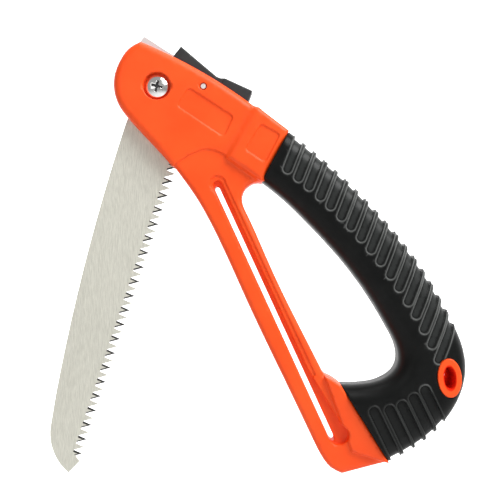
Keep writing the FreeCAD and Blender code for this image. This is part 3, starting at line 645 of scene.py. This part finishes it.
def noise(tree, scale, detail=4.0, rough=0.55, stretch=(1, 1, 1), turn=0.0):
    """Noise fixed to the piece, stretched along its turned axes."""
    coords = tree.nodes.new("ShaderNodeTexCoord")
    mapping = tree.nodes.new("ShaderNodeMapping")
    mapping.inputs["Scale"].default_value = stretch
    mapping.inputs["Rotation"].default_value = (0, turn, 0)
    tree.links.new(coords.outputs["Object"], mapping.inputs["Vector"])
    tex = tree.nodes.new("ShaderNodeTexNoise")
    tex.inputs["Scale"].default_value = scale
    tex.inputs["Detail"].default_value = detail
    tex.inputs["Roughness"].default_value = rough
    tree.links.new(mapping.outputs["Vector"], tex.inputs["Vector"])
    return tex.outputs["Fac"]


def ramp(tree, value, stops):
    """Colour from a value, through stops of a position and a colour."""
    node = tree.nodes.new("ShaderNodeValToRGB")
    elements = node.color_ramp.elements
    while len(elements) < len(stops):
        elements.new(0.5)
    for element, (position, colour) in zip(elements, stops):
        element.position = position
        element.color = (*colour, 1)
    tree.links.new(value, node.inputs["Fac"])
    return node.outputs["Color"]


def spread(tree, value, low, high):
    """A value from 0 to 1 made to run from low to high."""
    node = tree.nodes.new("ShaderNodeMapRange")
    node.inputs["To Min"].default_value = low
    node.inputs["To Max"].default_value = high
    tree.links.new(value, node.inputs["Value"])
    return node.outputs["Result"]


def bump(tree, shader, height, strength, distance):
    node = tree.nodes.new("ShaderNodeBump")
    node.inputs["Strength"].default_value = strength
    node.inputs["Distance"].default_value = distance
    tree.links.new(height, node.inputs["Height"])
    tree.links.new(node.outputs["Normal"], shader.inputs["Normal"])


def mixed(tree, share):
    """Node between two colours: the inputs for share 0 and share 1, and the result."""
    node = tree.nodes.new("ShaderNodeMix")
    node.data_type = "RGBA"
    tree.links.new(share, node.inputs[0])
    return node.inputs[6], node.inputs[7], node.outputs[2]


# Painted shade on the hanging hole's wall: full inside the first share of the bore's oval, gone past the
# second
BORE_SHADE_EDGE = (1.10, 1.24)


def outside_painted_bore_shade(tree):
    """0 where the hanging hole's wall gets its painted shade, 1 everywhere else."""
    coords = tree.nodes.new("ShaderNodeTexCoord")
    mapping = tree.nodes.new("ShaderNodeMapping")
    mapping.vector_type = "TEXTURE"
    mapping.inputs["Location"].default_value = ((EYELET[0] - GRIP_X) * MM, 0, (EYELET[1] - GRIP_Z) * MM)
    mapping.inputs["Rotation"].default_value = (0, -EYELET_TURN, 0)
    mapping.inputs["Scale"].default_value = (BORE_ACROSS * MM, 1.0, BORE_ALONG * MM)
    tree.links.new(coords.outputs["Object"], mapping.inputs["Vector"])
    flat = tree.nodes.new("ShaderNodeVectorMath")
    flat.operation = "MULTIPLY"
    flat.inputs[1].default_value = (1, 0, 1)
    tree.links.new(mapping.outputs["Vector"], flat.inputs[0])
    length = tree.nodes.new("ShaderNodeVectorMath")
    length.operation = "LENGTH"
    tree.links.new(flat.outputs["Vector"], length.inputs[0])
    edge = tree.nodes.new("ShaderNodeMapRange")
    edge.inputs["From Min"].default_value = BORE_SHADE_EDGE[0]
    edge.inputs["From Max"].default_value = BORE_SHADE_EDGE[1]
    tree.links.new(length.outputs["Value"], edge.inputs["Value"])
    return edge.outputs["Result"]


def with_painted_bore_shade(tree, mask, colour, deep):
    """The colour, going over to a deep one where the mask is 0, for the painted shade on the hanging hole's
    wall.
    """
    first, second, result = mixed(tree, mask)
    first.default_value = (*deep, 1)
    tree.links.new(colour, second)
    return result


def orange_plastic():
    """Orange plastic with a fine grain, with painted deep red shade and no specular reflection inside the
    hanging hole.
    """
    mat, tree, shader = material("orange_plastic")
    tint = ramp(tree, noise(tree, 40, 5), [(0.35, (0.93, 0.074, 0.005)), (0.7, (0.97, 0.092, 0.009))])
    mask = outside_painted_bore_shade(tree)
    # Painted shade inside the hanging hole: deep red colour and no specular reflection
    tree.links.new(with_painted_bore_shade(tree, mask, tint, (0.75, 0.020, 0.006)), shader.inputs["Base Color"])
    tree.links.new(spread(tree, mask, 0.0, 0.32), shader.inputs["Specular IOR Level"])
    tree.links.new(spread(tree, noise(tree, 160, 6), 0.36, 0.5), shader.inputs["Roughness"])
    bump(tree, shader, noise(tree, 2600, 3), 0.12, 0.0001)
    return mat


def blend(tree, attribute, colour, other):
    """The colour, going over to another where the mesh's attribute is 1."""
    share = tree.nodes.new("ShaderNodeAttribute")
    share.attribute_name = attribute
    first, second, result = mixed(tree, share.outputs["Fac"])
    tree.links.new(colour, first)
    second.default_value = (*other, 1)
    return result


def black_rubber():
    """Black rubber, with a painted grey sheen on the pockets' floors and a pale painted highlight on their
    rims.
    """
    mat, tree, shader = material("black_rubber")
    skin = ramp(tree, noise(tree, 60, 6), [(0.3, (0.0030, 0.0033, 0.0032)), (0.75, (0.0070, 0.0075, 0.0072))])
    # Painted light: grey sheen on the pockets' floors, pale highlight on their rims
    with_floor_sheen = blend(tree, "pocket_floor", skin, (0.028, 0.030, 0.029))
    with_rim_highlight = blend(tree, "pocket_rim_highlight", with_floor_sheen, (0.12, 0.124, 0.12))
    tree.links.new(with_rim_highlight, shader.inputs["Base Color"])
    tree.links.new(spread(tree, noise(tree, 220, 6), 0.30, 0.42), shader.inputs["Roughness"])
    shader.inputs["Specular IOR Level"].default_value = 0.14
    bump(tree, shader, noise(tree, 2200, 4), 0.25, 0.00012)
    return mat


def black_plastic():
    """Dark plastic with a fine grain."""
    mat, tree, shader = material("black_plastic")
    tint = ramp(tree, noise(tree, 90, 5), [(0.3, (0.016, 0.017, 0.018)), (0.75, (0.026, 0.027, 0.028))])
    tree.links.new(tint, shader.inputs["Base Color"])
    tree.links.new(spread(tree, noise(tree, 300, 5), 0.4, 0.56), shader.inputs["Roughness"])
    bump(tree, shader, noise(tree, 3000, 3), 0.15, 0.0001)
    return mat


BLADE_LEAN = math.radians(17.0)


def blade_steel():
    """Pale steel with fine grinding lines along the blade."""
    mat, tree, shader = material("blade_steel")
    lines = noise(tree, 30, 6, 0.74, stretch=(95, 40, 6.5), turn=BLADE_LEAN)
    blotch = noise(tree, 26, 5)
    tint = ramp(tree, lines, [(0.32, (0.56, 0.55, 0.475)), (0.68, (0.80, 0.79, 0.70))])
    tree.links.new(tint, shader.inputs["Base Color"])
    shader.inputs["Metallic"].default_value = 0.55
    tree.links.new(spread(tree, blotch, 0.42, 0.58), shader.inputs["Roughness"])
    bump(tree, shader, lines, 0.3, 0.00012)
    return mat


def bevel_painted_shade():
    """Near-black steel on the teeth's bevels, as their painted shade."""
    mat, tree, shader = material("tooth_bevel_painted_shade")
    lines = noise(tree, 40, 5, 0.7, stretch=(20, 20, 70), turn=BLADE_LEAN)
    tint = ramp(tree, lines, [(0.3, (0.030, 0.030, 0.029)), (0.75, (0.075, 0.075, 0.07))])
    tree.links.new(tint, shader.inputs["Base Color"])
    shader.inputs["Metallic"].default_value = 0.9
    tree.links.new(spread(tree, noise(tree, 200, 4), 0.3, 0.45), shader.inputs["Roughness"])
    return mat


def steel(name, colour, rough_low, rough_high, scale=900, metallic=1.0):
    """Plain steel, its roughness between two values."""
    mat, tree, shader = material(name)
    shader.inputs["Base Color"].default_value = (*colour, 1)
    shader.inputs["Metallic"].default_value = metallic
    tree.links.new(spread(tree, noise(tree, scale, 5), rough_low, rough_high), shader.inputs["Roughness"])
    bump(tree, shader, noise(tree, scale * 2, 3), 0.06, 0.00005)
    return mat


ORANGE = orange_plastic()
RUBBER = black_rubber()
PLASTIC = black_plastic()
BLADE = blade_steel()
BEVEL_SHADE = bevel_painted_shade()
POLISHED = steel("polished_steel", (0.86, 0.86, 0.84), 0.08, 0.2)
SPRING = steel("spring_steel", (0.5, 0.5, 0.5), 0.25, 0.4)
WASHER = steel("washer_steel", (0.55, 0.55, 0.54), 0.3, 0.45)
LEVER = steel("lever_steel", (0.80, 0.80, 0.79), 0.22, 0.38, metallic=0.6)
PIN_STEEL = steel("pin_steel", (0.85, 0.84, 0.82), 0.2, 0.35, metallic=0.5)
# Near-black steel painted into the screw's cross recess as its shade
RECESS_SHADE = steel("recess_painted_shade", (0.10, 0.10, 0.10), 0.3, 0.45)


# Pieces on their bodies

# Faces tilted this far from the blade's plane are the teeth's bevels, painted dark as their shade
SHADED_BEVEL_FACING = (0.2, 0.97)


def dress(obj, mat, body, slot_name, *nodes):
    """Puts a piece on a body in place of CAD nodes, with a material if it hasn't any."""
    if not obj.data.materials:
        obj.data.materials.append(mat)
    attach(obj, body)
    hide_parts(*nodes)


def blade_piece():
    """The blade with the bevels of its teeth in a near-black steel, as painted shade."""
    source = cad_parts["saw_blade"]
    mesh = source.data.copy()
    obj = bpy.data.objects.new("blade_plate", mesh)
    obj.matrix_world = source.matrix_world.copy()
    bpy.context.scene.collection.objects.link(obj)
    mesh.materials.clear()
    mesh.materials.append(BLADE)
    mesh.materials.append(BEVEL_SHADE)
    for face in mesh.polygons:
        face.use_smooth = False
        # The teeth's bevels get the painted shade
        shaded_bevel = SHADED_BEVEL_FACING[0] < abs(face.normal.y) < SHADED_BEVEL_FACING[1]
        face.material_index = 1 if shaded_bevel else 0
    return obj


dress(frame_piece(), ORANGE, "handle", "orange_plastic", "handle_frame")
dress(rubber_piece(), RUBBER, "handle", "rubber_grip", "grip_overmould")
dress(button_piece(), PLASTIC, "lock", "black_plastic", "lock_button")
dress(screw_piece(), POLISHED, "handle", "plated_steel", "pivot_screw")
dress(nut_piece(), POLISHED, "handle", "plated_steel", "pivot_sleeve_nut")
dress(blade_piece(), BLADE, "blade", "blade_steel", "saw_blade")
for node, mat in (("pivot_spring_washer", SPRING), ("blade_washers", WASHER),
                  ("lock_lever", LEVER), ("lever_pin", PIN_STEEL), ("lock_spring", SPRING)):
    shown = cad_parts[node]
    shown.data.materials.clear()
    shown.data.materials.append(mat)


# Floor, light and camera

FLOOR_REACH = 12.0
FLOOR_Z = -0.40
BEND_START = 0.9
BEND_RADIUS = 0.5
WALL_TOP = 3.5
GLOW_FROM = (0.3, 0.02)
GLOW_TO = (1.2, 1.0)
WORLD_LIGHT = 0.36
SENSOR = 36.0


def sweep():
    """Pale floor curving up into a wall behind, glowing more the further back it is."""
    profile = [(-FLOOR_REACH, FLOOR_Z), (BEND_START, FLOOR_Z)]
    profile += [(BEND_START + BEND_RADIUS * math.sin(t), FLOOR_Z + BEND_RADIUS * (1 - math.cos(t)))
                for t in np.linspace(0.05, math.pi / 2, 24)]
    profile.append((BEND_START + BEND_RADIUS, WALL_TOP))
    verts = [(x, y, z) for y, z in profile for x in (-FLOOR_REACH, FLOOR_REACH)]
    faces = [(2 * i, 2 * i + 1, 2 * i + 3, 2 * i + 2) for i in range(len(profile) - 1)]
    mesh = bpy.data.meshes.new("floor")
    mesh.from_pydata(verts, [], faces)
    mesh.polygons.foreach_set("use_smooth", np.ones(len(faces), bool))
    obj = bpy.data.objects.new("floor", mesh)
    bpy.context.scene.collection.objects.link(obj)
    mat, tree, shader = material("floor")
    shader.inputs["Base Color"].default_value = (0.70, 0.70, 0.70, 1)
    shader.inputs["Roughness"].default_value = 0.8
    shader.inputs["Emission Color"].default_value = (1, 1, 1, 1)
    position = tree.nodes.new("ShaderNodeTexCoord")
    split = tree.nodes.new("ShaderNodeSeparateXYZ")
    tree.links.new(position.outputs["Object"], split.inputs["Vector"])
    glow = tree.nodes.new("ShaderNodeMapRange")
    glow.inputs["From Min"].default_value, glow.inputs["To Min"].default_value = GLOW_FROM
    glow.inputs["From Max"].default_value, glow.inputs["To Max"].default_value = GLOW_TO
    tree.links.new(split.outputs["Y"], glow.inputs["Value"])
    tree.links.new(glow.outputs["Result"], shader.inputs["Emission Strength"])
    mesh.materials.append(mat)


def lamp(name, place, target, size, power):
    """Soft rectangular light that faces its target."""
    data = bpy.data.lights.new(name, "AREA")
    data.shape = "RECTANGLE"
    data.size, data.size_y = size
    data.energy = power
    obj = bpy.data.objects.new(name, data)
    obj.location = place
    obj.rotation_euler = (Vector(target) - Vector(place)).to_track_quat("-Z", "Y").to_euler()
    bpy.context.scene.collection.objects.link(obj)


sweep()
lamp("key", (0.70, -0.62, 0.92), (0, 0, 0), (0.95, 0.8), 24.0)
lamp("front", (-0.7, -1.3, 0.35), (-0.1, 0, 0), (0.7, 0.7), 1.5)
lamp("top", (-0.1, 0.05, 1.1), (0, 0, 0), (0.8, 0.4), 4.0)

world = bpy.data.worlds.new("world")
world.use_nodes = True
world.node_tree.nodes["Background"].inputs["Color"].default_value = (1, 1, 1, 1)
world.node_tree.nodes["Background"].inputs["Strength"].default_value = WORLD_LIGHT
scene = bpy.context.scene
scene.world = world
scene.view_settings.view_transform = "Standard"

aim = Vector(((VIEW_CENTRE[0] - GRIP_X) * MM, 0.0, (VIEW_CENTRE[1] - GRIP_Z) * MM))
camera_data = bpy.data.cameras.new("camera")
camera_data.sensor_width = SENSOR
camera_data.lens = SENSOR * (CAMERA_GAP - SCALE_PLANE) / VIEW_WIDTH
camera = bpy.data.objects.new("camera", camera_data)
camera.location = aim + Vector((0, -CAMERA_GAP * MM, 0))
camera.rotation_euler = (math.radians(90), 0, 0)
scene.collection.objects.link(camera)
scene.camera = camera
